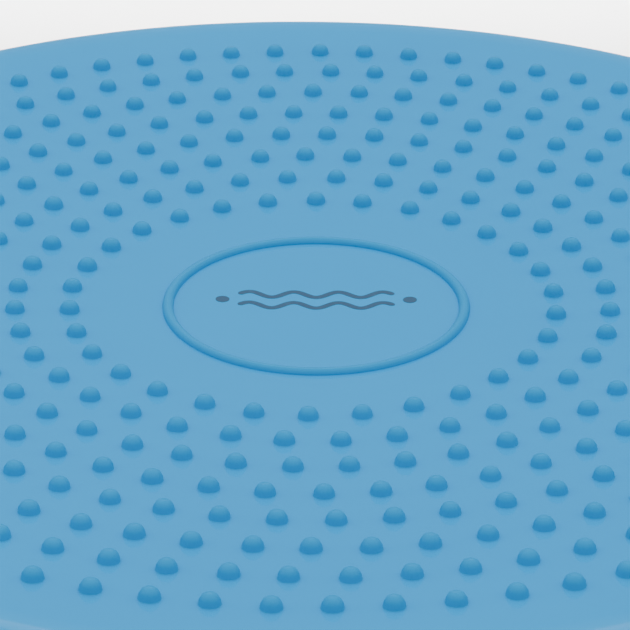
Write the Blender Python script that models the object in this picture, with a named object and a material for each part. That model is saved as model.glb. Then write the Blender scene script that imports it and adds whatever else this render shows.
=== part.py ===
"""Wobble cushion: an air-filled balance disc with a nubbed, slightly dished top.

Two moulded skins, an upper and a lower one, are closed on each other by a
welded seam round the middle. A self-sealing valve sits in the lower skin's
flank: a flanged housing, a rubber core that the pump needle goes through, and
a plug that pulls out. Metres, +Z up, origin on the floor under the centre.
"""

import math

import bmesh
import bpy
from mathutils import Matrix, Vector

# --- Driving dimensions of the cushion ---------------------------------------
CUSHION_DIAMETER = 0.330      # across the welded seam
SEAM_PROUD = 0.0015           # how far the seam stands out of the skins
RIM_HEIGHT = 0.054            # floor to the crest of the rim
RIM_ROLL_WIDTH = 0.014        # crest of the rim to the widest point of the skins
SKIN_WALL = 0.003             # thickness of both moulded skins
BOWL_DEPTH = 0.0064           # slow rise of the dished top, centre to rim
LIP_HEIGHT = 0.0003           # quick rise of the top over its last stretch
LIP_WIDTH = 0.015             # length of that last stretch
UNDER_DISH = 0.005            # hollow under the middle, which clears the floor
CONTACT_WIDTH = 0.0235        # width of the flat ring that the cushion rests on

# --- Nubs and the raised ring on the top --------------------------------------
NUB_DIAMETER = 0.0043
NUB_HEIGHT = 0.0023
NUB_TIP_SHARE = 0.70          # width of a nub's top, as a share of its foot
NUB_ROOT = 0.0010             # how deep a nub's foot is buried in the skin
NUB_RINGS = 8
FIRST_RING_RADIUS = 0.0522
NUB_FIELD_MARGIN = 0.01715    # outermost ring of nubs to the crest of the rim
FIRST_RING_NUBS = 30
NUBS_ADDED_PER_RING = 6.4
NUB_STAGGER = (0.94, 0.53, 0.16, 0.70, 0.43, 0.01, 0.64, 0.86)
# Each ring's first nub stands off the +Y axis by this share of the ring's spacing.
EMBLEM_RING_RADIUS = 0.0330   # outer radius of the raised ring round the centre
EMBLEM_RING_WIDTH = 0.0024
EMBLEM_RING_HEIGHT = 0.0012

# --- Seam -----------------------------------------------------------------------
SEAM_THICKNESS = 0.0014
SEAM_EDGE_ROUND = 0.0004

# --- Valve, sizes along and about its own axis ----------------------------------
HOUSING_FLANGE_RADIUS = 0.0080
HOUSING_FLANGE_THICKNESS = 0.0016
HOUSING_FLANGE_SINK = 0.0007  # how deep the flange's back lies in its recess
HOUSING_BARREL_RADIUS = 0.0045
HOUSING_LENGTH = 0.0150       # skin surface to the inner end of the barrel
HOUSING_BORE_RADIUS = 0.0025
CORE_LENGTH = 0.0072
CORE_CHANNEL_RADIUS = 0.0006
PLUG_HEAD_RADIUS = 0.0042
PLUG_HEAD_THICKNESS = 0.0014
PLUG_PIN_LENGTH = 0.0065
PLUG_EDGE_ROUND = 0.0005

# --- Clearances -----------------------------------------------------------------
GAP = 0.0003                  # left between pieces that touch on the real cushion
PIN_CLEARANCE = 0.0004        # plug pin in the housing's bore
CUT_OVERRUN = 0.005           # how far a cutter runs past what it cuts

# --- Resolution -----------------------------------------------------------------
SKIN_SEGMENTS = 48
VALVE_SEGMENTS = 20
ROLL_STEPS = 5                # steps of the quarter ellipse that turns the rim over
NUB_SIDES = 4

# --- Worked out from the above ---------------------------------------------------
SKIN_RADIUS = CUSHION_DIAMETER / 2 - SEAM_PROUD
CREST_RADIUS = SKIN_RADIUS - RIM_ROLL_WIDTH
SEAM_PLANE = RIM_HEIGHT / 2
SKIN_EDGE_OFFSET = SEAM_THICKNESS / 2 + GAP
RING_PITCH = (CREST_RADIUS - NUB_FIELD_MARGIN - FIRST_RING_RADIUS) / (NUB_RINGS - 1)
VALVE_HEIGHT = SEAM_PLANE / 2  # midway between the floor and the seam
TOP_CENTRE = RIM_HEIGHT - BOWL_DEPTH - LIP_HEIGHT

Profile = list[tuple[float, float]]


def clear_scene() -> None:
    """Remove everything that the start-up file brings."""
    for thing in list(bpy.data.objects):
        bpy.data.objects.remove(thing)


def plastic(name: str, colour: tuple[float, float, float], roughness: float) -> bpy.types.Material:
    """Return a non-metallic Principled material."""
    material = bpy.data.materials.new(name)
    material.use_nodes = True
    shader = material.node_tree.nodes["Principled BSDF"]
    shader.inputs["Base Color"].default_value = (*colour, 1.0)
    shader.inputs["Roughness"].default_value = roughness
    shader.inputs["Metallic"].default_value = 0.0
    return material


def turned_mesh(name: str, outline: Profile, segments: int) -> bpy.types.Mesh:
    """Turn a closed (radius, height) outline about Z into one closed mesh.

    Points on the axis become a single pole vertex. Half a segment of offset
    puts the middle of a facet, and not an edge, on the +X axis.
    """
    mesh = bpy.data.meshes.new(name)
    bm = bmesh.new()
    columns = []
    for radius, height in outline:
        if radius == 0.0:
            columns.append([bm.verts.new((0.0, 0.0, height))] * segments)
            continue
        ring = []
        for step in range(segments):
            angle = 2 * math.pi * (step + 0.5) / segments
            ring.append(bm.verts.new((radius * math.cos(angle), radius * math.sin(angle), height)))
        columns.append(ring)
    for index, lower in enumerate(columns):
        upper = columns[(index + 1) % len(columns)]
        for step in range(segments):
            after = (step + 1) % segments
            corners = [lower[step], lower[after], upper[after], upper[step]]
            unique = list(dict.fromkeys(corners))
            if len(unique) > 2:
                bm.faces.new(unique)
    bmesh.ops.recalc_face_normals(bm, faces=bm.faces)
    bm.to_mesh(mesh)
    bm.free()
    return mesh


def add_object(name: str, mesh: bpy.types.Mesh, material: bpy.types.Material | None) -> bpy.types.Object:
    """Link a new object that shows the mesh in the material."""
    thing = bpy.data.objects.new(name, mesh)
    if material is not None:
        mesh.materials.append(material)
    bpy.context.scene.collection.objects.link(thing)
    return thing


def shade_round(thing: bpy.types.Object) -> None:
    """Shade smooth, with edges over 35 degrees kept sharp."""
    thing.data.shade_smooth()
    thing.data.set_sharp_from_angle(angle=math.radians(35))


def cut(thing: bpy.types.Object, cutter: bpy.types.Object) -> None:
    """Take the cutter out of the object, and keep the cutter out of the build."""
    cutter.hide_render = True
    cutter.display_type = "WIRE"
    modifier = thing.modifiers.new("cut_" + cutter.name, "BOOLEAN")
    modifier.operation = "DIFFERENCE"
    modifier.object = cutter


def smooth_step(share: float) -> float:
    """Return the usual 0 to 1 blend, held at its ends."""
    share = min(max(share, 0.0), 1.0)
    return share * share * (3.0 - 2.0 * share)


def top_height(radius: float) -> float:
    """Return the height of the top skin's outer face inside the rim's crest."""
    share = radius / CREST_RADIUS
    bowl = BOWL_DEPTH * (1.37 * share ** 2 - 0.37 * share ** 4)
    lip = LIP_HEIGHT * smooth_step((radius - CREST_RADIUS + LIP_WIDTH) / LIP_WIDTH)
    return TOP_CENTRE + bowl + lip


def under_height(radius: float) -> float:
    """Return the height of the lower skin's outer face inside the resting ring."""
    inner = CREST_RADIUS - CONTACT_WIDTH
    return UNDER_DISH * (1.0 - smooth_step(radius / inner))


def roll_points(inset: float, side: int) -> Profile:
    """Return the turned-over edge of a skin, from the crest to the seam.

    inset is 0 for the outer face and the wall's thickness for the inner one.
    side is 1 for the upper skin and -1 for the lower one.
    """
    width = RIM_ROLL_WIDTH - inset
    height = SEAM_PLANE - inset
    last = math.acos(SKIN_EDGE_OFFSET / height)
    points = []
    for step in range(ROLL_STEPS + 1):
        angle = last * step / ROLL_STEPS
        radius = CREST_RADIUS + width * math.sin(angle)
        points.append((radius, side * height * math.cos(angle)))
    return points


def ring_radius(ring: int) -> float:
    """Return the radius of one ring of nubs."""
    return FIRST_RING_RADIUS + RING_PITCH * ring


def upper_outline() -> Profile:
    """Return the upper skin's outline, with heights from the seam's plane."""
    bead_inner = EMBLEM_RING_RADIUS - EMBLEM_RING_WIDTH
    bead_middle = EMBLEM_RING_RADIUS - EMBLEM_RING_WIDTH / 2
    outer = [(0.0, top_height(0.0) - SEAM_PLANE)]
    outer.append((bead_inner, top_height(bead_inner) - SEAM_PLANE))
    outer.append((bead_middle, top_height(bead_middle) + EMBLEM_RING_HEIGHT - SEAM_PLANE))
    outer.append((EMBLEM_RING_RADIUS, top_height(EMBLEM_RING_RADIUS) - SEAM_PLANE))
    for ring in range(NUB_RINGS + 1):
        radius = ring_radius(ring) - RING_PITCH / 2
        outer.append((radius, top_height(radius) - SEAM_PLANE))
    shoulder = (outer[-1][0] + CREST_RADIUS) / 2
    outer.append((shoulder, top_height(shoulder) - SEAM_PLANE))
    outer += roll_points(0.0, 1)
    inner = [(0.0, outer[0][1] - SKIN_WALL)]
    for share in (0.35, 0.65, 0.88):
        radius = CREST_RADIUS * share
        inner.append((radius, top_height(radius) - SKIN_WALL - SEAM_PLANE))
    inner += roll_points(SKIN_WALL, 1)
    return outer + inner[::-1]


def lower_outline() -> Profile:
    """Return the lower skin's outline, with heights from the floor."""
    contact_inner = CREST_RADIUS - CONTACT_WIDTH
    outer = [(contact_inner * share, under_height(contact_inner * share)) for share in (0.0, 0.3, 0.6, 0.85, 1.0)]
    outer += [(radius, SEAM_PLANE + height) for radius, height in roll_points(0.0, -1)]
    inner = [(radius, height + SKIN_WALL) for radius, height in outer[:5]]
    inner += [(radius, SEAM_PLANE + height) for radius, height in roll_points(SKIN_WALL, -1)]
    return outer + inner[::-1]


def nub_places() -> list[tuple[float, float]]:
    """Return (radius, angle) of each nub: a whole number to each ring, and each ring staggered."""
    places = []
    for ring in range(NUB_RINGS):
        count = round(FIRST_RING_NUBS + NUBS_ADDED_PER_RING * ring)
        stagger = NUB_STAGGER[ring % len(NUB_STAGGER)]
        for index in range(count):
            places.append((ring_radius(ring), math.pi / 2 + 2 * math.pi * (index + stagger) / count))
    return places


def nub_mesh() -> bpy.types.Mesh:
    """Build all the nubs as plain tapered pegs that stand in the upper skin."""
    mesh = bpy.data.meshes.new("nub_pegs")
    bm = bmesh.new()
    foot_radius = NUB_DIAMETER / 2
    length = NUB_HEIGHT + NUB_ROOT
    for radius, angle in nub_places():
        middle = top_height(radius) - SEAM_PLANE - NUB_ROOT + length / 2
        place = Matrix.Rotation(angle, 4, "Z") @ Matrix.Translation((radius, 0.0, middle))
        bmesh.ops.create_cone(
            bm,
            cap_ends=True,
            segments=NUB_SIDES,
            radius1=foot_radius,
            radius2=foot_radius * NUB_TIP_SHARE,
            depth=length,
            matrix=place,
        )
    bm.to_mesh(mesh)
    bm.free()
    return mesh


def build_upper_skin(material: bpy.types.Material) -> None:
    """Build the upper skin, with its nubs and raised ring in one piece with it."""
    skin = add_object("upper_skin", turned_mesh("upper_skin", upper_outline(), SKIN_SEGMENTS), material)
    skin.location = (0.0, 0.0, SEAM_PLANE)
    pegs = add_object("nub_pegs", nub_mesh(), None)
    pegs.location = skin.location
    pegs.hide_render = True
    pegs.display_type = "WIRE"
    union = skin.modifiers.new("nubs", "BOOLEAN")
    union.operation = "UNION"
    union.object = pegs


def build_seam(material: bpy.types.Material) -> None:
    """Build the welded seam, a flat ring between the two skins' edges."""
    inner = SKIN_RADIUS - SKIN_WALL
    outer = CUSHION_DIAMETER / 2
    half = SEAM_THICKNESS / 2
    outline = [
        (inner, -half),
        (outer - SEAM_EDGE_ROUND, -half),
        (outer, -half + SEAM_EDGE_ROUND),
        (outer, half - SEAM_EDGE_ROUND),
        (outer - SEAM_EDGE_ROUND, half),
        (inner, half),
    ]
    seam = add_object("weld_seam", turned_mesh("weld_seam", outline, SKIN_SEGMENTS), material)
    seam.location = (0.0, 0.0, SEAM_PLANE)
    shade_round(seam)


def valve_frame() -> bpy.types.Object:
    """Return an empty on the lower flank, its Z axis square to the skin and outwards."""
    sine = (SEAM_PLANE - VALVE_HEIGHT) / SEAM_PLANE
    cosine = math.sqrt(1.0 - sine * sine)
    facet_middle = math.cos(math.pi / SKIN_SEGMENTS)
    radius = (CREST_RADIUS + RIM_ROLL_WIDTH * cosine) * facet_middle
    outwards = Vector((cosine / RIM_ROLL_WIDTH, 0.0, -sine / SEAM_PLANE)).normalized()
    empty = bpy.data.objects.new("valve_frame", None)
    empty.location = (radius, 0.0, VALVE_HEIGHT)
    empty.rotation_mode = "QUATERNION"
    empty.rotation_quaternion = outwards.to_track_quat("Z", "Y")
    bpy.context.scene.collection.objects.link(empty)
    return empty


def valve_piece(
    name: str, outline: Profile, frame: bpy.types.Object, material: bpy.types.Material | None
) -> bpy.types.Object:
    """Turn an outline about the valve's axis and hang it on the valve's frame."""
    piece = add_object(name, turned_mesh(name, outline, VALVE_SEGMENTS), material)
    piece.parent = frame
    return piece


def build_lower_skin(material: bpy.types.Material, frame: bpy.types.Object) -> None:
    """Build the lower skin, with the recess and the hole that take the valve."""
    skin = add_object("lower_skin", turned_mesh("lower_skin", lower_outline(), SKIN_SEGMENTS), material)
    recess = HOUSING_FLANGE_RADIUS + GAP
    hole = HOUSING_BARREL_RADIUS + GAP
    recess_floor = -HOUSING_FLANGE_SINK - GAP
    outline = [
        (0.0, -SKIN_WALL - CUT_OVERRUN),
        (hole, -SKIN_WALL - CUT_OVERRUN),
        (hole, recess_floor),
        (recess, recess_floor),
        (recess, CUT_OVERRUN),
        (0.0, CUT_OVERRUN),
    ]
    cut(skin, valve_piece("valve_cutter", outline, frame, None))


def build_valve(
    body: bpy.types.Material, rubber: bpy.types.Material, stopper: bpy.types.Material, frame: bpy.types.Object
) -> None:
    """Build the valve's housing, its self-sealing core and its pull-out plug."""
    flange_front = HOUSING_FLANGE_THICKNESS - HOUSING_FLANGE_SINK
    housing = [
        (HOUSING_BORE_RADIUS, -HOUSING_LENGTH),
        (HOUSING_BARREL_RADIUS, -HOUSING_LENGTH),
        (HOUSING_BARREL_RADIUS, -HOUSING_FLANGE_SINK),
        (HOUSING_FLANGE_RADIUS, -HOUSING_FLANGE_SINK),
        (HOUSING_FLANGE_RADIUS, flange_front - PLUG_EDGE_ROUND),
        (HOUSING_FLANGE_RADIUS - PLUG_EDGE_ROUND, flange_front),
        (HOUSING_BORE_RADIUS, flange_front),
    ]
    shade_round(valve_piece("valve_housing", housing, frame, body))

    core_radius = HOUSING_BORE_RADIUS - GAP
    core_inner_end = -HOUSING_LENGTH + GAP
    core = [
        (CORE_CHANNEL_RADIUS, core_inner_end),
        (core_radius, core_inner_end),
        (core_radius, core_inner_end + CORE_LENGTH),
        (CORE_CHANNEL_RADIUS, core_inner_end + CORE_LENGTH),
    ]
    shade_round(valve_piece("valve_core", core, frame, rubber))

    head_back = flange_front + GAP
    head_front = head_back + PLUG_HEAD_THICKNESS
    pin_radius = HOUSING_BORE_RADIUS - PIN_CLEARANCE
    plug = [
        (0.0, head_back - PLUG_PIN_LENGTH),
        (pin_radius - PLUG_EDGE_ROUND, head_back - PLUG_PIN_LENGTH),
        (pin_radius, head_back - PLUG_PIN_LENGTH + PLUG_EDGE_ROUND),
        (pin_radius, head_back),
        (PLUG_HEAD_RADIUS, head_back),
        (PLUG_HEAD_RADIUS, head_front - PLUG_EDGE_ROUND),
        (PLUG_HEAD_RADIUS - PLUG_EDGE_ROUND, head_front),
        (0.0, head_front),
    ]
    shade_round(valve_piece("valve_plug", plug, frame, stopper))


def main() -> None:
    """Build the whole cushion."""
    clear_scene()
    skin_blue = plastic("moulded_skin", (0.13, 0.40, 0.61), 0.42)
    seam_blue = plastic("welded_seam", (0.16, 0.44, 0.65), 0.35)
    valve_blue = plastic("valve_body", (0.08, 0.26, 0.44), 0.45)
    grey_rubber = plastic("valve_rubber", (0.10, 0.10, 0.11), 0.75)
    plug_blue = plastic("plug", (0.06, 0.20, 0.36), 0.40)
    frame = valve_frame()
    build_lower_skin(skin_blue, frame)
    build_seam(seam_blue)
    build_upper_skin(skin_blue)
    build_valve(valve_blue, grey_rubber, plug_blue, frame)
    bpy.context.view_layer.update()


main()
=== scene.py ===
"""Looks of the wobble cushion: its inflated skins, nubs, seam, valve and printed mark."""

import logging
import math
from dataclasses import dataclass, field
from enum import Enum
from typing import Any, Union

import bmesh
import bpy
from mathutils import Matrix, Vector
from mathutils.bvhtree import BVHTree


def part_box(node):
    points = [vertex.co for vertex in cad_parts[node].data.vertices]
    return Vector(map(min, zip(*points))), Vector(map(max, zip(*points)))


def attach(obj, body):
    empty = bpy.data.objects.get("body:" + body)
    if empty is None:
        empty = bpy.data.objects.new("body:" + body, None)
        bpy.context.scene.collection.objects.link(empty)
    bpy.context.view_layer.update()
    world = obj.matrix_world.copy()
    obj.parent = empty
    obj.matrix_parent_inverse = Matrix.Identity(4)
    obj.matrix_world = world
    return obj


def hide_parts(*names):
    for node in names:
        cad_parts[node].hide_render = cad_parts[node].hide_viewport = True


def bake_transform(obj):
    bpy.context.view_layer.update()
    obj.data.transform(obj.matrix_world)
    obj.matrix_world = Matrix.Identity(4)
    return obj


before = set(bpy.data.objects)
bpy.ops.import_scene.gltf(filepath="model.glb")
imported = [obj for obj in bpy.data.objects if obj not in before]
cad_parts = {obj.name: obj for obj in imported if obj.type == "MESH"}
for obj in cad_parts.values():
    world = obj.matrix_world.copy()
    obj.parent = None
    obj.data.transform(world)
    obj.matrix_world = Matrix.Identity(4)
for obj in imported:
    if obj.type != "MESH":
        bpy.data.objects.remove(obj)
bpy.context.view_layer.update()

LOG = logging.getLogger("wobble_cushion")

CAD_FACETS = 48  # facets round the CAD's turned solids
RAY_START = 0.2  # height from which the nubs, the rings and the print are dropped on a skin
MERGE_DISTANCE = 0.00002  # points closer than this become one
FULL_TURN = 2.0 * math.pi
DOWN = (0.0, 0.0, -1.0)
SHARP_ANGLE = math.radians(40)  # edges of the seam and the valve that stay sharp
LONGEST_ROUNDING = 0.45  # share of a side that a corner's rounding may take
STRAIGHT_ANGLE = 0.05  # corners flatter than this, in radians, are left as they are

Colour = tuple[float, float, float]
Spot = tuple[float, float, float]
Number = Union[float, "Term"]
Profile = list[tuple[float, float]]
Socket = bpy.types.NodeSocket
Material = bpy.types.Material
Piece = bpy.types.Object


class Body(Enum):
    """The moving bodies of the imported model."""

    BASE = "base"
    SEAM = "seam"
    TOP = "top"
    PLUG = "plug"


class Slot(Enum):
    """The record's material slots."""

    SKIN = "skin"
    SEAM = "seam"
    VALVE_BODY = "valve_body"
    VALVE_RUBBER = "valve_rubber"
    PLUG = "plug"


class Face(Enum):
    """Which skin a turned sheet belongs to, as the sign of its height."""

    UPPER = 1.0
    LOWER = -1.0


# --- Node trees as expressions ---


def by_math(operation: str, swapped: bool = False) -> Any:
    """Return a method that puts a Term, and one more number if it gets one, through a Math node."""

    def method(self: "Term", other: Number = 0.0) -> "Term":
        """Return the Math node's result."""
        first, second = (other, self) if swapped else (self, other)
        node = self.tree.node("ShaderNodeMath", {"operation": operation}, {0: first, 1: second})
        return Term(self.tree, node.outputs[0])

    return method


class Term:
    """A number socket that can be used in ordinary arithmetic."""

    def __init__(self, tree: "NodeTree", socket: Socket) -> None:
        """Wrap a socket of the tree."""
        self.tree = tree
        self.socket = socket

    __add__ = __radd__ = by_math("ADD")
    __sub__ = by_math("SUBTRACT")
    __rsub__ = by_math("SUBTRACT", swapped=True)
    __mul__ = __rmul__ = by_math("MULTIPLY")
    __truediv__ = by_math("DIVIDE")
    __rtruediv__ = by_math("DIVIDE", swapped=True)
    __pow__ = by_math("POWER")
    __abs__ = by_math("ABSOLUTE")
    least = by_math("MINIMUM")
    most = by_math("MAXIMUM")
    sine = by_math("SINE")
    cosine = by_math("COSINE")

    def held(self) -> "Term":
        """Return self held between 0 and 1."""
        return self.most(0.0).least(1.0)

    def smooth(self) -> "Term":
        """Return self held between 0 and 1 and eased at both ends."""
        share = self.held()
        return share * share * (3.0 - 2.0 * share)


class NodeTree:
    """A node tree that is filled in by one method."""

    def __init__(self, tree: bpy.types.NodeTree) -> None:
        """Wrap a Blender node tree."""
        self.tree = tree

    def node(
        self, kind: str, settings: dict[str, Any] | None = None, inputs: dict | None = None
    ) -> bpy.types.Node:
        """Add a node.

        Args:
            kind: The node's Blender type.
            settings: Its attributes, set first.
            inputs: Values or links of its sockets, by name or by number.

        Returns:
            The new node.
        """
        made = self.tree.nodes.new(kind)
        for name, value in (settings or {}).items():
            setattr(made, name, value)
        for name, value in (inputs or {}).items():
            self.feed(made.inputs[name], value)
        return made

    def feed(self, socket: Socket, value: Any) -> None:
        """Link a Term or a socket into the socket, or set its value."""
        if isinstance(value, Term):
            value = value.socket
        if isinstance(value, Socket):
            self.tree.links.new(value, socket)
        else:
            socket.default_value = value

    def parts(self, vector: Socket) -> tuple[Term, Term, Term]:
        """Return a vector's X, Y and Z as Terms."""
        split = self.node("ShaderNodeSeparateXYZ", None, {0: vector})
        return tuple(Term(self, socket) for socket in split.outputs)

    def cloud(self, vector: Socket, scale: float, detail: float, roughness: float, seed: float) -> Term:
        """Return noise from 0 to 1 at a place, the same on every run."""
        inputs = {"Vector": vector, "W": seed, "Scale": scale, "Detail": detail, "Roughness": roughness}
        made = self.node("ShaderNodeTexNoise", {"noise_dimensions": "4D"}, inputs)
        return Term(self, made.outputs[0])


class ShapeTree(NodeTree):
    """A Geometry Nodes tree with named inputs."""

    def __init__(self, name: str, sizes: dict[str, float], counts: dict[str, int]) -> None:
        """Make the tree.

        Args:
            name: The tree's name.
            sizes: Named number inputs, in metres or plain numbers, with their defaults.
            counts: Named whole-number inputs with their defaults.
        """
        super().__init__(bpy.data.node_groups.new(name, "GeometryNodeTree"))
        face = self.tree.interface
        face.new_socket(name="Geometry", in_out="INPUT", socket_type="NodeSocketGeometry")
        face.new_socket(name="Geometry", in_out="OUTPUT", socket_type="NodeSocketGeometry")
        for label, kind, table in (("Float", float, sizes), ("Int", int, counts)):
            for key, value in table.items():
                made = face.new_socket(name=key, in_out="INPUT", socket_type="NodeSocket" + label)
                made.default_value = kind(value)
        face.new_socket(name="Material", in_out="INPUT", socket_type="NodeSocketMaterial")
        self.entry = self.node("NodeGroupInput")
        self.exit = self.node("NodeGroupOutput")
        self.given = self.entry.outputs["Geometry"]

    def size(self, name: str) -> Term:
        """Return a named input as a Term."""
        return Term(self, self.entry.outputs[name])

    def shape(self, kind: str, inputs: dict, settings: dict[str, Any] | None = None) -> Socket:
        """Add a geometry node and return the geometry that it sends out."""
        return self.node("GeometryNode" + kind, settings, inputs).outputs[0]

    def finish(self, geometry: Socket, chosen: Socket | None = None) -> None:
        """Realize the geometry, give its chosen faces (or all) the Material input, and send it out."""
        solid = self.shape("RealizeInstances", {0: geometry})
        inputs = {"Geometry": solid, "Material": self.entry.outputs["Material"]}
        if chosen is not None:
            inputs["Selection"] = chosen
        self.feed(self.exit.inputs[0], self.shape("SetMaterial", inputs))

    def finish_added(self, geometry: Socket, mark: str) -> None:
        """Add geometry to what the tree is given; its faces, told by the mark, get the material."""
        inputs = {"Geometry": geometry, "Name": mark, "Value": True}
        kind = {"data_type": "BOOLEAN", "domain": "FACE"}
        added = self.shape("StoreNamedAttribute", inputs, kind)
        marked = self.node("GeometryNodeInputNamedAttribute", {"data_type": "BOOLEAN"}, {"Name": mark})
        self.finish(self.join(self.given, added), marked.outputs["Attribute"])

    def apply_to(self, piece: Piece, material: Material, values: dict[str, float]) -> None:
        """Add this tree to a piece as a modifier.

        Args:
            piece: The object that gets the modifier.
            material: The finish that the tree's faces get.
            values: Values of the named inputs that differ from the defaults.
        """
        modifier = piece.modifiers.new(self.tree.name, "NODES")
        modifier.node_group = self.tree
        for item in self.tree.interface.items_tree:
            if item.in_out == "INPUT" and item.name in values:
                modifier[item.identifier] = values[item.name]
            if item.in_out == "INPUT" and item.name == "Material":
                modifier[item.identifier] = material

    def combine(self, x: Number, y: Number, z: Number) -> Socket:
        """Return a vector socket made of three numbers."""
        return self.node("ShaderNodeCombineXYZ", None, {0: x, 1: y, 2: z}).outputs[0]

    def polar(self, radius: Number, angle: Term, height: Number) -> Socket:
        """Return the vector socket of a place given by its radius, angle and height."""
        return self.combine(radius * angle.cosine(), radius * angle.sine(), height)

    def place(self) -> tuple[Term, Term, Term]:
        """Return each point's position as three Terms."""
        return self.parts(self.node("GeometryNodeInputPosition").outputs[0])

    def noise(self, vector: Socket, scale: float, detail: float, seed: float) -> Term:
        """Return smooth noise from about -1 to 1 at a place."""
        return self.cloud(vector, scale, detail, 0.45, seed) * 2.0 - 1.0

    def random(self, salt: float) -> Term:
        """Return a fixed random number from -1 to 1 for each point, by its index and the Seed input."""
        number = Term(self, self.node("GeometryNodeInputIndex").outputs[0])
        spot = self.combine(number, self.size("Seed"), salt)
        made = self.node("ShaderNodeTexWhiteNoise", {"noise_dimensions": "3D"}, {"Vector": spot})
        return Term(self, made.outputs[0]) * 2.0 - 1.0

    def grid(self, around: Number, along: Number) -> Socket:
        """Return a flat sheet of points, 1 by 1 round the origin."""
        inputs = {"Size X": 1.0, "Size Y": 1.0, "Vertices X": around, "Vertices Y": along}
        return self.shape("MeshGrid", inputs)

    def moved(self, geometry: Socket, where: Socket) -> Socket:
        """Return the geometry with its points set to new places."""
        return self.shape("SetPosition", {"Geometry": geometry, "Position": where})

    def merged(self, geometry: Socket) -> Socket:
        """Return the geometry with its open edges closed on each other."""
        return self.shape("MergeByDistance", {"Geometry": geometry, "Distance": MERGE_DISTANCE})

    def join(self, first: Socket, second: Socket) -> Socket:
        """Return two geometries as one."""
        both = self.node("GeometryNodeJoinGeometry")
        self.feed(both.inputs[0], first)
        self.feed(both.inputs[0], second)
        return both.outputs[0]

    def swept(self, path: Socket, section: Socket) -> Socket:
        """Return the surface that a section makes along a path."""
        return self.shape("CurveToMesh", {"Curve": path, "Profile Curve": section})

    def dropped(self, start: Socket, direction: Any) -> bpy.types.Node:
        """Return the node that finds where points dropped from the start meet the given geometry."""
        inputs = {"Target Geometry": self.given, "Source Position": start, "Ray Direction": direction}
        return self.node("GeometryNodeRaycast", None, {**inputs, "Ray Length": 1.0})


class ShaderTree(NodeTree):
    """A material's node tree round one Principled shader."""

    def __init__(self, name: str, constants: dict[str, Any]) -> None:
        """Make the material, with constants for its shader's own sockets."""
        self.material = bpy.data.materials.new(name)
        self.material.use_nodes = True
        super().__init__(self.material.node_tree)
        self.shader = self.tree.nodes["Principled BSDF"]
        for socket, value in constants.items():
            self.shader.inputs[socket].default_value = value
        self.coordinates = self.node("ShaderNodeTexCoord").outputs["Object"]

    def noise(self, scale: float, detail: float, roughness: float, seed: float) -> Term:
        """Return noise from 0 to 1 on the object's own coordinates."""
        return self.cloud(self.coordinates, scale, detail, roughness, seed)

    def place(self) -> tuple[Term, Term, Term]:
        """Return the object's own coordinates as three Terms."""
        return self.parts(self.coordinates)

    def mix(self, share: Term, first: Any, second: Any) -> Socket:
        """Return the colour that goes from first to second as share goes from 0 to 1."""
        made = self.node("ShaderNodeMix", {"data_type": "RGBA"}, {"Factor": share})
        colours = [socket for socket in made.inputs if socket.type == "RGBA"]
        for socket, value in zip(colours, (first, second)):
            self.feed(socket, (*value, 1.0) if isinstance(value, tuple) else value)
        return next(socket for socket in made.outputs if socket.type == "RGBA")

    def dress(self, colour: Socket, roughness: Term, grain: Term, depth: float) -> Material:
        """Feed the shader, with a grain of the given depth in metres, and return the material."""
        bump = self.node("ShaderNodeBump", None, {"Height": grain, "Distance": depth, "Strength": 1.0})
        fed = {"Base Color": colour, "Roughness": roughness, "Normal": bump.outputs[0]}
        for name, value in fed.items():
            self.feed(self.shader.inputs[name], value)
        return self.material


# --- Finishes ---


@dataclass(frozen=True)
class MouldedSkinFinish:
    """Soft PVC as it comes out of the mould: satin and faintly mottled, with a painted sheen that makes
    it paler towards the rim.
    """

    name: str = "moulded_pvc_skin"
    colour: Colour = (0.0, 0.350, 0.785)
    deep_colour: Colour = (0.0, 0.332, 0.757)
    # Colour and radii of a painted sheen: the skin is painted paler towards the rim.
    painted_sheen_colour: Colour = (0.058, 0.400, 0.810)
    painted_sheen_band: tuple[float, float] = (0.1450, 0.1600)
    roughness: float = 0.12
    specular: float = 0.12
    grain_height: float = 0.000008

    def make(self) -> Material:
        """Return the skin's material."""
        tree = ShaderTree(self.name, {"Specular IOR Level": self.specular, "IOR": 1.5})
        cloud = tree.noise(14.0, 3.0, 0.5, 1.0)
        flow = tree.noise(60.0, 2.0, 0.6, 2.0)
        grain = tree.noise(2600.0, 2.0, 0.6, 3.0)
        scuffs = tree.noise(95.0, 5.0, 0.75, 4.0)
        mottling = (cloud * 0.65 + flow * 0.35 - 0.35) * 2.2
        body = tree.mix(mottling.held(), self.deep_colour, self.colour)
        across, along, _ = tree.place()
        # Painted sheen: across this band the colour blends to a paler blue, standing in for white
        # surroundings mirrored at grazing angles.
        start, end = self.painted_sheen_band
        rim = ((across * across + along * along) ** 0.5 - start) / (end - start)
        colour = tree.mix(rim.held() * (0.85 + 0.15 * flow), body, self.painted_sheen_colour)
        worn = ((scuffs - 0.60) * 6.0).held()
        roughness = self.roughness + 0.05 * (cloud - 0.5) + 0.06 * worn
        return tree.dress(colour, roughness, grain * 0.8 + flow * 0.2, self.grain_height)


SKIN_FINISH = MouldedSkinFinish()
# The nubs and the raised ring are the skin's own PVC. Their darker, deeper blue is painted shade.
NUB_FINISH_WITH_PAINTED_SHADE = MouldedSkinFinish(
    name="moulded_pvc_nubs_painted_shade",
    colour=(0.0, 0.318, 0.690),
    deep_colour=(0.0, 0.298, 0.655),
    roughness=0.30,
    specular=0.04,
)


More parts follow.
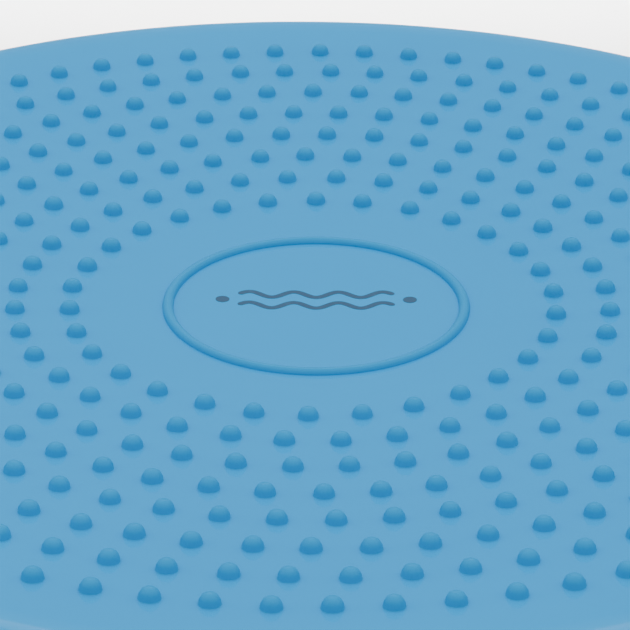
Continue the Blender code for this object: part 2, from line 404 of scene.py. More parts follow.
@dataclass(frozen=True)
class PrintFinish:
    """Slate-blue screen ink, a little uneven at its edges and rubbed in places."""

    name: str = "slate_print_ink"
    colour: Colour = (0.040, 0.105, 0.190)
    rubbed_colour: Colour = (0.050, 0.150, 0.270)
    roughness: float = 0.50
    specular: float = 0.06
    grain_height: float = 0.00001

    def make(self) -> Material:
        """Return the ink's material."""
        tree = ShaderTree(self.name, {"Specular IOR Level": self.specular})
        rub = tree.noise(420.0, 4.0, 0.7, 7.0)
        patch = tree.noise(60.0, 2.0, 0.5, 8.0)
        rubbed = ((rub * 0.6 + patch * 0.4 - 0.52) * 5.0).held()
        colour = tree.mix(rubbed, self.colour, self.rubbed_colour)
        return tree.dress(colour, self.roughness + 0.08 * patch, rub, self.grain_height)


@dataclass(frozen=True)
class PlasticFinish:
    """A moulded plastic or rubber piece with a fine grain and rubbed high spots."""

    name: str
    colour: Colour
    worn_colour: Colour
    roughness: float
    specular: float
    grain_scale: float
    grain_height: float

    def make(self) -> Material:
        """Return the piece's material."""
        tree = ShaderTree(self.name, {"Specular IOR Level": self.specular})
        grain = tree.noise(self.grain_scale, 3.0, 0.6, 11.0)
        cloud = tree.noise(self.grain_scale / 12.0, 2.0, 0.5, 12.0)
        worn = ((cloud * 0.7 + grain * 0.3 - 0.5) * 4.0).held()
        colour = tree.mix(worn, self.colour, self.worn_colour)
        roughness = self.roughness + 0.10 * (cloud - 0.5)
        return tree.dress(colour, roughness, grain, self.grain_height)


SEAM_FINISH = PlasticFinish(
    "welded_seam_pvc", (0.018, 0.310, 0.660), (0.040, 0.370, 0.720), 0.34, 0.35, 900.0, 0.00003
)
HOUSING_FINISH = PlasticFinish(
    "valve_body_plastic", (0.020, 0.150, 0.330), (0.035, 0.190, 0.390), 0.45, 0.40, 1800.0, 0.00002
)
RUBBER_FINISH = PlasticFinish(
    "valve_core_rubber", (0.045, 0.047, 0.052), (0.080, 0.080, 0.085), 0.72, 0.30, 2600.0, 0.00002
)
PLUG_FINISH = PlasticFinish(
    "plug_plastic", (0.014, 0.105, 0.250), (0.030, 0.150, 0.320), 0.40, 0.40, 1800.0, 0.00002
)


@dataclass(frozen=True)
class FloorFinish:
    """Plain pale studio floor."""

    name: str = "pale_floor"
    grey: float = 0.90

    def make(self) -> Material:
        """Return the floor's material."""
        colour = (self.grey, self.grey, self.grey, 1.0)
        constants = {"Base Color": colour, "Roughness": 0.85, "Specular IOR Level": 0.2}
        return ShaderTree(self.name, constants).material


# --- Helpers ---


def new_piece(name: str, data: bpy.types.ID | None = None) -> Piece:
    """Link a new object at the origin, with an empty mesh if it gets no data."""
    piece = bpy.data.objects.new(name, data or bpy.data.meshes.new(name))
    bpy.context.scene.collection.objects.link(piece)
    return piece


def freeze(piece: Piece) -> None:
    """Turn a piece's modifiers into a plain mesh."""
    view = bpy.context.evaluated_depsgraph_get()
    mesh = bpy.data.meshes.new_from_object(piece.evaluated_get(view), depsgraph=view)
    piece.modifiers.clear()
    piece.data = mesh
    mesh.name = piece.name
    mesh.shade_smooth()


def piece_from(bm: bmesh.types.BMesh, name: str) -> Piece:
    """Return a new object made from a bmesh, which is freed."""
    mesh = bpy.data.meshes.new(name)
    bm.to_mesh(mesh)
    bm.free()
    return new_piece(name, mesh)


def face_outwards(piece: Piece, face: Face) -> None:
    """Turn an open sheet's faces to its outside before it gets its wall."""
    bm = bmesh.new()
    bm.from_mesh(piece.data)
    middle = min(bm.faces, key=lambda facet: facet.calc_center_median().xy.length)
    if middle.normal.z * face.value < 0.0:
        bmesh.ops.reverse_faces(bm, faces=bm.faces)
    bm.to_mesh(piece.data)
    bm.free()


def report(piece: Piece, body: Body) -> None:
    """Log what a finished piece is."""
    LOG.info("%s: %d faces, rides on %s", piece.name, len(piece.data.polygons), body.value)


def fit_rigid(piece: Piece, node: str, slot: Slot, body: Body) -> None:
    """Put a finished piece in the place of its CAD solid, riding on one body."""
    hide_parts(node)
    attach(piece, body.value)
    report(piece, body)


def turn(name: str, profile: Profile, place: Matrix, steps: int) -> Piece:
    """Turn a closed outline about Z into a smooth closed piece.

    Args:
        name: The piece's name.
        profile: (radius, height) points round the outline; a radius of 0 is on the axis.
        place: Where the turned shape's own axes go.
        steps: Facets round the axis.

    Returns:
        The new object.
    """
    bm = bmesh.new()
    rings = []
    for radius, height in profile:
        if radius == 0.0:
            rings.append([bm.verts.new((0.0, 0.0, height))] * steps)
            continue
        angles = [FULL_TURN * step / steps for step in range(steps)]
        rings.append([bm.verts.new((radius * math.cos(a), radius * math.sin(a), height)) for a in angles])
    for index, near in enumerate(rings):
        far = rings[(index + 1) % len(rings)]
        for step in range(steps):
            after = (step + 1) % steps
            corners = list(dict.fromkeys((near[step], near[after], far[after], far[step])))
            if len(corners) > 2:
                bm.faces.new(corners)
    bmesh.ops.recalc_face_normals(bm, faces=bm.faces)
    bm.transform(place)
    piece = piece_from(bm, name)
    piece.data.shade_smooth()
    piece.data.set_sharp_from_angle(angle=SHARP_ANGLE)
    return piece


def rounded(profile: Profile, radius: float, steps: int = 4) -> Profile:
    """Round the corners of a closed outline that aren't on the axis.

    Args:
        profile: (radius, height) corner points.
        radius: The rounding's radius, cut down where a side is short.
        steps: Points along each rounding, less one.

    Returns:
        The outline with an arc at each corner.
    """
    points = [Vector(point) for point in profile]
    result: Profile = []
    for index, corner in enumerate(points):
        before = points[index - 1] - corner
        after = points[(index + 1) % len(points)] - corner
        reach = min(radius, before.length * LONGEST_ROUNDING, after.length * LONGEST_ROUNDING)
        short = before.length * after.length < 1e-12
        straight = short or abs(before.angle(after) - math.pi) < STRAIGHT_ANGLE
        if corner.x == 0.0 or straight:
            result.append(tuple(corner))
            continue
        start = corner + before.normalized() * reach
        end = corner + after.normalized() * reach
        for step in range(steps + 1):
            share = step / steps
            bend = start * (1 - share) ** 2 + corner * 2 * share * (1 - share) + end * share ** 2
            result.append(tuple(bend))
    return result


# --- The cushion's sizes ---


@dataclass(frozen=True)
class CushionSizes:
    """Sizes that the skins, the nubs and the seam share, in metres."""

    seam_plane: float
    rim_height: float
    skin_radius: float
    roll_width: float = 0.014
    wall: float = 0.003
    bowl_depth: float = 0.0064
    lip_height: float = 0.0003
    lip_width: float = 0.015
    under_dish: float = 0.005
    contact_width: float = 0.0235
    seam_half: float = 0.0007
    seam_gap: float = 0.00006

    @property
    def crest_radius(self) -> float:
        """Radius of the highest line of the rim."""
        return self.skin_radius - self.roll_width

    @property
    def top_centre(self) -> float:
        """Height of the top's middle."""
        return self.rim_height - self.bowl_depth - self.lip_height

    @classmethod
    def from_frame(cls) -> "CushionSizes":
        """Read the seam's plane, the rim's height and the skins' radius from the CAD nodes."""
        seam_low, seam_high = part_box("weld_seam")
        _, skin_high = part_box("lower_skin")
        plane = (seam_low[2] + seam_high[2]) / 2.0
        radius = skin_high[1] / math.cos(math.pi / CAD_FACETS)
        return cls(seam_plane=plane, rim_height=2.0 * plane, skin_radius=radius)


# --- Skins ---


class SkinShapes:
    """The Geometry Nodes trees that both skins are made with."""

    bowl_shoulder: float = 0.37
    flare_reach: float = 0.0035
    nub_grid: tuple[int, int] = (13, 7)
    nub_foot_share: float = 1.0 / 3.0
    nub_growth: float = 0.02
    bead_section_points: int = 12

    def __init__(self, sizes: CushionSizes) -> None:
        """Build the trees, with the cushion's shared sizes as defaults."""
        self.sizes = sizes
        self.sheet = self._sheet_tree()
        self.nubs = self._nub_tree()
        self.bead = self._bead_tree()

    def _sheet_tree(self) -> ShapeTree:
        """Return the tree that turns a skin's outer face, from its middle to the seam."""
        s = self.sizes
        inputs = {
            "Centre Height": s.top_centre,
            "Bowl Depth": s.bowl_depth,
            "Lip Height": s.lip_height,
            "Lip Width": s.lip_width,
            "Dish Depth": 0.0,
            "Dish Radius": s.crest_radius,
            "Crest Radius": s.crest_radius,
            "Roll Width": s.roll_width,
            "Roll Height": s.rim_height - s.seam_plane,
            "Roll Start": 0.80,
            "Seam Offset": s.seam_half + s.seam_gap,
            "Seam Flare": 0.0010,
            "Side": Face.UPPER.value,
            "Slack": 0.00035,
            "Rim Lean": 0.0,
            "Lowest": 0.00002,
        }
        tree = ShapeTree("turned_skin", inputs, {"Around": 240, "Along": 84})
        size = tree.size
        side = size("Side")
        crest = size("Crest Radius")
        roll_start = size("Roll Start")
        roll_height = size("Roll Height")
        grid = tree.grid(size("Around"), size("Along"))
        across, along, _ = tree.place()
        angle = (across + 0.5) * FULL_TURN
        share = along + 0.5
        inside = (share / roll_start).least(1.0)
        last_angle = math.pi / 2 - size("Seam Offset") / roll_height
        roll = (share - roll_start).most(0.0) / (1.0 - roll_start) * last_angle
        lip_width = size("Lip Width")
        lip = (inside * crest - crest + lip_width) / lip_width
        dish = 1.0 - (inside * crest / size("Dish Radius")).smooth()
        shoulder = self.bowl_shoulder
        bowl = size("Bowl Depth") * ((1.0 + shoulder) * inside ** 2.0 - shoulder * inside ** 4.0)
        height = size("Centre Height") + bowl + size("Lip Height") * lip.smooth()
        height = height + size("Dish Depth") * dish
        height = height + side * roll_height * (roll.cosine() - 1.0)
        flare = size("Seam Flare") * (1.0 - (roll.cosine() * roll_height / self.flare_reach).smooth())
        radius = inside * crest + size("Roll Width") * roll.sine() + flare

        broad = tree.noise(tree.polar(1.0, angle, 0.0), 0.9, 1.0, 3.0)
        ripple = tree.noise(tree.polar(1.0, angle, share * 2.0), 3.2, 1.0, 9.0)
        loose = (roll.sine() * roll.cosine() * 2.0).most((inside ** 6.0) * 0.6)
        slack = size("Slack") * loose
        radius = radius + slack * (broad * 1.2 + ripple * 0.8)
        height = height + side * slack * broad * 0.7
        lean = size("Rim Lean") * (inside ** 8.0) * roll.cosine()
        height = (height - lean * angle.cosine()).most(size("Lowest"))
        tree.finish(tree.merged(tree.moved(grid, tree.polar(radius, angle, height))))
        return tree

    def _nub_tree(self) -> ShapeTree:
        """Return the tree that stands one ring of nubs on the geometry it is given."""
        inputs = {
            "Ring Radius": 0.0522,
            "Stagger": 0.0,
            "Nub Radius": 0.00212,
            "Nub Height": 0.00235,
            "Foot Fillet": 0.00022,
            "Roundness": 0.93,
            "Sink": 0.00004,
            "Wander": 0.00022,
            "Seed": 0.0,
        }
        tree = ShapeTree("nub_ring", inputs, {"Count": 30})
        seats, drop = self._nub_seats(tree)
        normal = {"Vector": drop.outputs["Hit Normal"]}
        upright = tree.node("FunctionNodeAlignRotationToVector", {"axis": "Z"}, normal)
        growth = 1.0 + self.nub_growth * tree.random(3.0)
        stood = {
            "Points": seats,
            "Instance": self._nub(tree),
            "Rotation": upright.outputs[0],
            "Scale": tree.combine(growth, growth, growth),
        }
        solid = tree.shape("RealizeInstances", {0: tree.shape("InstanceOnPoints", stood)})
        tree.finish_added(solid, "nub")
        return tree

    def _nub(self, tree: ShapeTree) -> Socket:
        """Return one closed nub: a dome with a filleted foot, standing on the origin."""
        size = tree.size
        grid = tree.grid(*self.nub_grid)
        across, along, _ = tree.place()
        angle = (across + 0.5) * FULL_TURN
        share = along + 0.5
        foot = self.nub_foot_share
        fillet = size("Foot Fillet")
        power = size("Roundness")
        hollow = (share / foot).least(1.0) * (math.pi / 2)
        climb = (share - foot).most(0.0) / (1.0 - foot) * (math.pi / 2)
        radius = size("Nub Radius") * climb.cosine().most(0.0) ** power
        radius = radius + fillet * (1.0 - hollow.sine())
        dome = (size("Nub Height") - fillet) * (climb.sine() ** power)
        height = dome + fillet * (1.0 - hollow.cosine()) - size("Sink")
        shell = tree.moved(grid, tree.polar(radius, angle, height))
        base = {"Vertices": self.nub_grid[0] - 1, "Radius": size("Nub Radius") + fillet}
        sole = tree.shape("MeshCircle", base, {"fill_type": "NGON"})
        low = tree.combine(0.0, 0.0, size("Sink") * -1.0)
        lowered = tree.shape("Transform", {"Geometry": sole, "Translation": low})
        return tree.merged(tree.join(shell, lowered))

    @staticmethod
    def _nub_seats(tree: ShapeTree) -> tuple[Socket, bpy.types.Node]:
        """Return one ring's points on the skin, and the node that dropped them there."""
        size = tree.size
        spots = tree.shape("MeshLine", {"Count": size("Count")}, {"mode": "OFFSET"})
        number = Term(tree, tree.node("GeometryNodeInputIndex").outputs[0])
        angle = (number + size("Stagger")) / size("Count") * FULL_TURN + math.pi / 2
        wander = size("Wander")
        radius = size("Ring Radius") + wander * tree.random(1.0)
        angle = angle + wander * tree.random(2.0) / size("Ring Radius")
        drop = tree.dropped(tree.polar(radius, angle, RAY_START), DOWN)
        return tree.moved(spots, drop.outputs["Hit Position"]), drop

    def _bead_tree(self) -> ShapeTree:
        """Return the tree that lays a round raised ring on the geometry it is given."""
        inputs = {
            "Ring Radius": 0.032,
            "Ring Shift": 0.0,
            "Bead Width": 0.002,
            "Bead Height": 0.001,
            "Ray Side": Face.UPPER.value,
        }
        tree = ShapeTree("raised_ring", inputs, {"Around": 240})
        size = tree.size
        side = size("Ray Side")
        reach = size("Ring Radius")
        circle = tree.shape("MeshCircle", {"Vertices": size("Around"), "Radius": 1.0})
        x, y, _ = tree.place()
        over = tree.combine(x * reach + size("Ring Shift"), y * reach, side * RAY_START)
        drop = tree.dropped(over, tree.combine(0.0, 0.0, side * -1.0))
        laid = tree.moved(circle, drop.outputs["Hit Position"])
        path = tree.shape("MeshToCurve", {0: laid})
        points = {"Resolution": self.bead_section_points, "Radius": 1.0}
        section = tree.shape("CurvePrimitiveCircle", points)
        scale = tree.combine(size("Bead Width") * 0.5, size("Bead Height"), 1.0)
        shaped = tree.shape("Transform", {"Geometry": section, "Scale": scale})
        tree.finish_added(tree.swept(path, shaped), "bead")
        return tree

    def mould(self, name: str, material: Material, values: dict[str, float], face: Face) -> Piece:
        """Return a new skin with its wall, before its raised details.

        Args:
            name: The piece's name.
            material: The moulded skin's finish.
            values: Values of the sheet's inputs that differ from the defaults.
            face: Which skin it is.

        Returns:
            The skin, with its wall still a modifier.
        """
        piece = new_piece(name)
        self.sheet.apply_to(piece, material, values)
        freeze(piece)
        face_outwards(piece, face)
        wall = piece.modifiers.new("wall", "SOLIDIFY")
        wall.thickness = self.sizes.wall
        wall.offset = -1.0
        return piece


EMBLEM_RING = {"Ring Radius": 0.0318, "Ring Shift": 0.0008, "Bead Width": 0.0024, "Bead Height": 0.0012}
GRIP_RIB = {"Bead Width": 0.0024, "Bead Height": 0.0007, "Ray Side": Face.LOWER.value}


@dataclass(frozen=True)
class SkinFit:
    """How a skin stands in for its CAD solid, with the two bodies that it lies between."""

    node: str
    near: Body
    far: Body
    start: float
    end: float
    fullness: float = 0.85

    def fit(self, piece: Piece, body: Body) -> None:
        """Put the finished skin in place of its CAD solid, with its transform baked in."""
        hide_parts(self.node)
        start, end = ((0.0, 0.0, height) for height in (self.start, self.end))
        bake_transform(piece)
        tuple(start)
        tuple(end)
        report(piece, body)


@dataclass
class NubField:
    """The eight staggered rings of nubs on the top."""

    rings: int = 8
    first_radius: float = 0.0522
    crest_margin: float = 0.01715
    first_count: int = 30
    added_per_ring: float = 6.4
    stagger: tuple[float, ...] = (0.94, 0.53, 0.16, 0.70, 0.43, 0.01, 0.64, 0.86)

    def ring_values(self, crest_radius: float) -> list[dict[str, float]]:
        """Return each ring's inputs for the nub tree, inside the given rim's crest."""
        pitch = (crest_radius - self.crest_margin - self.first_radius) / (self.rings - 1)
        return [
            {
                "Ring Radius": self.first_radius + pitch * ring,
                "Stagger": self.stagger[ring],
                "Count": round(self.first_count + self.added_per_ring * ring),
                "Seed": float(ring + 1),
            }
            for ring in range(self.rings)
        ]


@dataclass
class UpperSkin:
    """The dished top skin, with its nubs and its raised ring moulded in."""

    sizes: CushionSizes
    shapes: SkinShapes
    rim_lean: float = 0.0007
    nubs: NubField = field(default_factory=NubField)
    place: SkinFit = SkinFit("upper_skin", Body.SEAM, Body.TOP, 0.0285, 0.0440)

    def build(self, material: Material, nub_material: Material) -> Piece:
        """Build the skin and put it in the place of its CAD solid.

        Args:
            material: The moulded skin's finish.
            nub_material: The finish of the nubs and the raised ring: the skin's PVC in a darker blue that
                is painted shade.

        Returns:
            The finished piece.
        """
        lean = {"Rim Lean": self.rim_lean}
        piece = self.shapes.mould("upper_skin_moulding", material, lean, Face.UPPER)
        self.shapes.bead.apply_to(piece, nub_material, EMBLEM_RING)
        rings = self.nubs.ring_values(self.sizes.crest_radius)
        for ring in rings:
            self.shapes.nubs.apply_to(piece, nub_material, ring)
        freeze(piece)
        LOG.info("%d nubs in %d rings", sum(ring["Count"] for ring in rings), len(rings))
        self.place.fit(piece, Body.TOP)
        return piece


@dataclass
class LowerSkin:
    """The lower skin: a flat resting ring, a shallow hollow with grip ribs, and the valve's recess."""

    sizes: CushionSizes
    shapes: SkinShapes
    rib_radii: tuple[float, ...] = (0.024, 0.038, 0.052, 0.066, 0.080)
    sharp_angle: float = math.radians(50)
    place: SkinFit = SkinFit("lower_skin", Body.BASE, Body.SEAM, 0.001, 0.0255)

    def build(self, material: Material, cutter: Piece) -> None:
        """Build the skin and put it in the place of its CAD solid.

        Args:
            material: The moulded skin's finish.
            cutter: The shape of the valve's recess and hole, removed afterwards.
        """
        s = self.sizes
        values = {
            "Centre Height": 0.0,
            "Bowl Depth": 0.0,
            "Lip Height": 0.0,
            "Dish Depth": s.under_dish,
            "Dish Radius": s.crest_radius - s.contact_width,
            "Roll Height": s.seam_plane,
            "Side": Face.LOWER.value,
            "Slack": 0.00030,
        }
        piece = self.shapes.mould("lower_skin_moulding", material, values, Face.LOWER)
        cut = piece.modifiers.new("valve_recess", "BOOLEAN")
        cut.operation = "DIFFERENCE"
        cut.object = cutter
        for radius in self.rib_radii:
            self.shapes.bead.apply_to(piece, material, {"Ring Radius": radius, **GRIP_RIB})
        freeze(piece)
        piece.data.set_sharp_from_angle(angle=self.sharp_angle)
        bpy.data.objects.remove(cutter)
        self.place.fit(piece, Body.BASE)


@dataclass
class WeldSeam:
    """The welded seam that closes the two skins on each other."""

    sizes: CushionSizes
    outer_radius: float
    edge_round: float = 0.0005
    edge_points: int = 4
    unevenness: float = 0.00012
    around: int = 480

    def build(self, material: Material) -> None:
        """Build the seam and put it in the place of its CAD solid.

        Args:
            material: The welded seam's finish.
        """
        s = self.sizes
        inner = s.skin_radius - s.wall
        inputs = {
            "Path Radius": (inner + self.outer_radius) / 2,
            "Band Width": self.outer_radius - inner,
            "Band Thickness": 2.0 * s.seam_half,
            "Edge Round": self.edge_round,
            "Plane": s.seam_plane,
            "Unevenness": self.unevenness,
        }
        tree = ShapeTree("weld_band", inputs, {"Around": self.around})
        size = tree.size
        ring = {"Resolution": size("Around"), "Radius": size("Path Radius")}
        path = tree.shape("CurvePrimitiveCircle", ring)
        band = {"Width": size("Band Width"), "Height": size("Band Thickness")}
        section = tree.shape("CurvePrimitiveQuadrilateral", band)
        edges = {"Curve": section, "Radius": size("Edge Round"), "Count": self.edge_points}
        eased = tree.shape("FilletCurve", edges, {"mode": "POLY"})
        swept = tree.swept(path, eased)
        x, y, z = tree.place()
        spot = tree.combine(x, y, 0.0)
        wave = tree.noise(spot, 90.0, 2.0, 5.0) * 0.6 + tree.noise(spot, 420.0, 1.0, 6.0) * 0.4
        reach = tree.node("ShaderNodeVectorMath", {"operation": "LENGTH"}, {0: spot})
        length = Term(tree, reach.outputs["Value"])
        edge = ((length - inner) / (self.outer_radius - inner)).smooth()
        growth = 1.0 + size("Unevenness") * (wave - 1.0) * edge / length
        where = tree.combine(x * growth, y * growth, z + size("Plane"))
        tree.finish(tree.moved(swept, where))

        piece = new_piece("weld_seam_band")
        tree.apply_to(piece, material, {})
        freeze(piece)
        piece.data.set_sharp_from_angle(angle=SHARP_ANGLE)
        fit_rigid(piece, "weld_seam", Slot.SEAM, Body.SEAM)


@dataclass
class Valve:
    """The needle valve in the lower flank: housing, rubber core and pull-out plug."""

    sizes: CushionSizes
    flange_radius: float = 0.0080
    flange_thickness: float = 0.0016
    flange_sink: float = 0.0007
    barrel_radius: float = 0.0045
    length: float = 0.0150
    bore_radius: float = 0.0025
    core_length: float = 0.0072
    slit_radius: float = 0.0006
    head_radius: float = 0.0042
    head_thickness: float = 0.0014
    pin_length: float = 0.0065
    gap: float = 0.0003
    pin_clearance: float = 0.0004
    facets: int = 72
    lead_in: float = 0.0012
    panel_margin: float = 0.0007
    panel_bevel: float = 0.0003
    panel_depth: float = 0.00025
    funnel_width: float = 0.0006
    funnel_depth: float = 0.0005
    neck_back: float = 0.0022
    neck_front: float = 0.0018
    neck_inset: float = 0.0003
    pin_tip: float = 0.75
    crown: tuple[tuple[float, float], ...] = ((1.0, 0.65), (0.72, 1.0), (0.55, 0.72), (0.0, 0.62))
    edge_round: float = 0.00025
    cut_inside: float = 0.008
    cut_outside: float = 0.005

    @property
    def place(self) -> Matrix:
        """Where the valve's own axes go: Z square to the lower flank, outwards."""
        s = self.sizes
        height = s.seam_plane / 2.0
        sine = (s.seam_plane - height) / s.seam_plane
        cosine = math.sqrt(1.0 - sine * sine)
        radius = (s.crest_radius + s.roll_width * cosine) * math.cos(math.pi / CAD_FACETS)
        outwards = Vector((cosine / s.roll_width, 0.0, -sine / s.seam_plane)).normalized()
        turned = outwards.to_track_quat("Z", "Y").to_matrix().to_4x4()
        return Matrix.Translation((radius, 0.0, height)) @ turned

    def cutter(self) -> Piece:
        """Return the shape that the lower skin loses to the valve."""
        recess = self.flange_radius + self.gap * 0.5
        hole = self.barrel_radius + self.gap * 0.5
        floor = -self.flange_sink - self.gap * 0.5
        deep = [(0.0, -self.cut_inside), (hole, -self.cut_inside), (hole, floor)]
        wide = [(recess, floor), (recess, self.cut_outside), (0.0, self.cut_outside)]
        return turn("valve_cutter", deep + wide, self.place, self.facets)

    def _housing(self, front: float) -> Profile:
        """Return the outline of the housing, whose flange's face is at the given height."""
        panel = front - self.panel_depth
        return [
            (self.bore_radius, -self.length),
            (self.barrel_radius - self.lead_in / 2, -self.length),
            (self.barrel_radius, -self.length + self.lead_in),
            (self.barrel_radius, -self.flange_sink),
            (self.flange_radius, -self.flange_sink),
            (self.flange_radius, front),
            (self.flange_radius - self.lead_in, front),
            (self.flange_radius - self.lead_in - self.panel_bevel, panel),
            (self.head_radius + self.panel_margin + self.panel_bevel, panel),
            (self.head_radius + self.panel_margin, front),
            (self.bore_radius, front),
        ]

    def _core(self) -> Profile:
        """Return the outline of the rubber core, with a funnel round its slit."""
        back = -self.length + self.gap
        front = back + self.core_length
        return [
            (self.slit_radius, back),
            (self.bore_radius - self.gap, back),
            (self.bore_radius - self.gap, front),
            (self.slit_radius + self.funnel_width, front),
            (self.slit_radius, front - self.funnel_depth),
        ]

    def _plug(self, back: float) -> Profile:
        """Return the outline of the plug, whose head's underside is at the given height."""
        pin = self.bore_radius - self.pin_clearance
        tip = back - self.pin_length
        head = [(self.head_radius * across, back + self.head_thickness * up) for across, up in self.crown]
        return [
            (0.0, tip),
            (pin * self.pin_tip, tip),
            (pin, tip + self.lead_in),
            (pin, back - self.neck_back),
            (pin - self.neck_inset, back - self.neck_front),
            (pin - self.neck_inset, back),
            (self.head_radius, back),
            *head,
        ]

    def build(self, body: Material, rubber: Material, stopper: Material) -> None:
        """Build the valve's three pieces in the places of their CAD solids.

        Args:
            body: The housing's finish.
            rubber: The core's finish.
            stopper: The plug's finish.
        """
        front = self.flange_thickness - self.flange_sink
        housing = self._housing(front)
        plug = self._plug(front + self.gap)
        recipes = [
            ("valve_housing_flange", housing, body, "valve_housing", Slot.VALVE_BODY, Body.BASE),
            ("valve_core_rubber", self._core(), rubber, "valve_core", Slot.VALVE_RUBBER, Body.BASE),
            ("valve_plug_button", plug, stopper, "valve_plug", Slot.PLUG, Body.PLUG),
        ]
        for name, outline, material, node, slot, rides_on in recipes:
            piece = turn(name, rounded(outline, self.edge_round), self.place, self.facets)
            piece.data.materials.append(material)
            fit_rigid(piece, node, slot, rides_on)


@dataclass
class PrintedWave:
    """A plain double wave with a dot at each end, printed in the middle of the top."""

    length: float = 0.0336
    swing: float = 0.0013
    waves: float = 3.5
    stroke: float = 0.0015
    spread: float = 0.0052
    dot_radius: float = 0.0015
    dot_gap: float = 0.0034
    film: float = 0.00005
    shift_back: float = 0.0031
    shift_right: float = 0.0008
    steps: int = 220
    dot_steps: int = 32
    thinnest_stroke: float = 0.00005
    thinnest_dot: float = 0.00003

    def build(self, skin: Piece, material: Material) -> None:
        """Lay the print on the skin.

        Args:
            skin: The finished upper skin.
            material: The ink.
        """
        polygons = [tuple(face.vertices) for face in skin.data.polygons]
        tree = BVHTree.FromPolygons([vertex.co for vertex in skin.data.vertices], polygons)
        bm = bmesh.new()
        for side in (-1.0, 1.0):
            self._film(bm, self._wave_outline(side), tree)
            self._film(bm, self._dot_outline(side), tree)
        bmesh.ops.recalc_face_normals(bm, faces=bm.faces)
        piece = piece_from(bm, "printed_wave")
        piece.data.materials.append(material)
        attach(piece, Body.TOP.value)
        report(piece, Body.TOP)

    def _wave_outline(self, side: float) -> list[tuple[Vector, Vector]]:
        """Return the two edges of the near (-1) or the far (1) wave as pairs of points."""
        pairs = []
        for step in range(self.steps + 1):
            share = step / self.steps
            phase = FULL_TURN * self.waves * share
            x = self.length * (share - 0.5) + self.shift_right
            y = self.swing * math.sin(phase) + self.shift_back + side * self.spread / 2
            slope = self.swing * math.cos(phase) * FULL_TURN * self.waves / self.length
            square = Vector((-slope, 1.0)).normalized()
            end = min(share, 1.0 - share) * self.length / (self.stroke / 2)
            half = self.stroke / 2 * math.sqrt(1.0 - (1.0 - min(end, 1.0)) ** 2)
            half = max(half, self.thinnest_stroke)
            pairs.append((Vector((x, y)) + square * half, Vector((x, y)) - square * half))
        return pairs

    def _dot_outline(self, side: float) -> list[tuple[Vector, Vector]]:
        """Return a dot as pairs of points across it, for the left (-1) or the right (1) end."""
        centre = Vector((side * (self.length / 2 + self.dot_gap) + self.shift_right, self.shift_back))
        pairs = []
        for step in range(self.dot_steps + 1):
            angle = math.pi * step / self.dot_steps
            reach = Vector((-math.cos(angle) * self.dot_radius, 0.0))
            half = Vector((0.0, max(math.sin(angle) * self.dot_radius, self.thinnest_dot)))
            pairs.append((centre + reach + half, centre + reach - half))
        return pairs

    def _film(self, bm: bmesh.types.BMesh, pairs: list[tuple[Vector, Vector]], tree: BVHTree) -> None:
        """Add a thin closed film between two edges, laid on the skin."""
        rows = []
        for left, right in pairs:
            row = []
            for spot in (left, right):
                hit = tree.ray_cast(Vector((spot.x, spot.y, RAY_START)), Vector(DOWN))[0]
                row.append(bm.verts.new((spot.x, spot.y, hit.z + self.film)))
                row.append(bm.verts.new((spot.x, spot.y, hit.z - self.film)))
            rows.append(row)
        for near, far in zip(rows, rows[1:]):
            for a, b in ((0, 2), (2, 3), (3, 1), (1, 0)):
                bm.faces.new((near[a], near[b], far[b], far[a]))
        for end in (rows[0], rows[-1]):
            bm.faces.new((end[0], end[2], end[3], end[1]))


# --- Studio ---


@dataclass(frozen=True)
class Softbox:
    """A rectangular area light that hangs at one place and faces another."""

    name: str
    place: Spot
    width: float
    height: float
    power: float
    aim: Spot = (0.0, 0.0, 0.05)

    def hang(self) -> Piece:
        """Return the light in its place."""
        data = bpy.data.lights.new(self.name, "AREA")
        data.shape = "RECTANGLE"
        data.size = self.width
        data.size_y = self.height
        data.energy = self.power
        light = new_piece(self.name, data)
        facing = (Vector(self.aim) - Vector(self.place)).to_track_quat("-Z", "Y")
        light.matrix_world = Matrix.Translation(self.place) @ facing.to_matrix().to_4x4()
        return light


SOFTBOXES = (
    Softbox("top_box", (0.0, -0.10, 1.80), 2.60, 1.70, 16.8),
    Softbox("back_key", (0.0, 1.30, 1.45), 1.70, 0.95, 13.0),
    Softbox("left_box", (-1.55, 0.15, 1.35), 2.00, 2.00, 15.0),
    Softbox("right_box", (1.55, 0.15, 1.35), 2.00, 2.00, 15.0),
    Softbox("front_fill", (0.0, -1.7, 1.5), 2.20, 2.20, 17.5),
    Softbox("back_wall", (0.0, 2.3, 0.90), 4.2, 1.5, 7.2),
)
FLOOR_WASH = Softbox("floor_wash", (0.0, 0.62, 0.6), 0.7, 0.7, 12.0, (0.0, 0.62, 0.0))


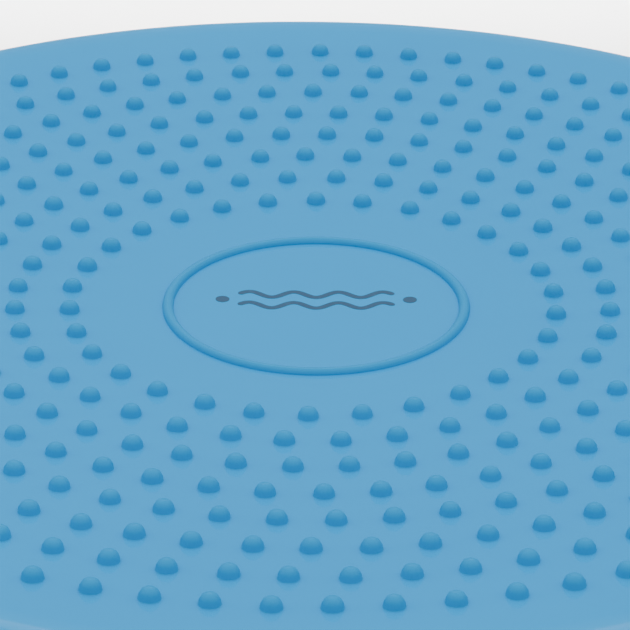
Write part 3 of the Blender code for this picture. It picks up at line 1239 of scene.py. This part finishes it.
@dataclass
class Studio:
    """Camera, floor and soft lights."""

    elevation: float = math.radians(26.3)
    distance: float = 0.7003
    target_height: float = 0.0469
    lens: float = 186.3
    roll: float = math.radians(0.28)
    shift: tuple[float, float] = (0.0040, -0.0108)
    floor_size: float = 14.0
    room_light: float = 0.22
    wash_spread: float = math.radians(30.0)

    def camera(self) -> None:
        """Set up the camera, looking down across the top of the cushion."""
        data = bpy.data.cameras.new("camera")
        data.lens = self.lens
        data.shift_x, data.shift_y = self.shift
        data.clip_end = 60.0
        camera = new_piece("camera", data)
        back = Vector((0.0, -math.cos(self.elevation), math.sin(self.elevation)))
        place = Matrix.Translation(Vector((0.0, 0.0, self.target_height)) + back * self.distance)
        tilt = Matrix.Rotation(math.pi / 2 - self.elevation, 4, "X")
        camera.matrix_world = place @ tilt @ Matrix.Rotation(self.roll, 4, "Z")
        bpy.context.scene.camera = camera

    def floor(self) -> None:
        """Lay the pale floor."""
        half = self.floor_size / 2
        corners = [(-half, -half, 0), (half, -half, 0), (half, half, 0), (-half, half, 0)]
        mesh = bpy.data.meshes.new("floor")
        mesh.from_pydata(corners, [], [(0, 1, 2, 3)])
        mesh.materials.append(FloorFinish().make())
        new_piece("floor", mesh)

    def surroundings(self) -> None:
        """Give the room an even pale light."""
        world = bpy.data.worlds.new("studio")
        bpy.context.scene.world = world
        world.use_nodes = True
        background = world.node_tree.nodes["Background"]
        background.inputs["Color"].default_value = (1.0, 1.0, 1.0, 1.0)
        background.inputs["Strength"].default_value = self.room_light

    def build(self) -> None:
        """Set everything up."""
        self.camera()
        self.floor()
        self.surroundings()
        for softbox in SOFTBOXES:
            softbox.hang()
        wash = FLOOR_WASH.hang()
        wash.data.spread = self.wash_spread
        wash.visible_camera = False


def main() -> None:
    """Build the cushion's pieces in order, and then its studio."""
    logging.basicConfig(level=logging.INFO, format="%(name)s: %(message)s")
    sizes = CushionSizes.from_frame()
    LOG.info("crest radius %.4f, seam plane %.4f", sizes.crest_radius, sizes.seam_plane)
    shapes = SkinShapes(sizes)
    skin = SKIN_FINISH.make()
    valve = Valve(sizes)
    upper = UpperSkin(sizes, shapes).build(skin, NUB_FINISH_WITH_PAINTED_SHADE.make())
    LowerSkin(sizes, shapes).build(skin, valve.cutter())
    _, seam_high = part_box("weld_seam")
    WeldSeam(sizes, seam_high[0]).build(SEAM_FINISH.make())
    valve.build(HOUSING_FINISH.make(), RUBBER_FINISH.make(), PLUG_FINISH.make())
    PrintedWave().build(upper, PrintFinish().make())
    Studio().build()


if __name__ == "__main__":
    main()
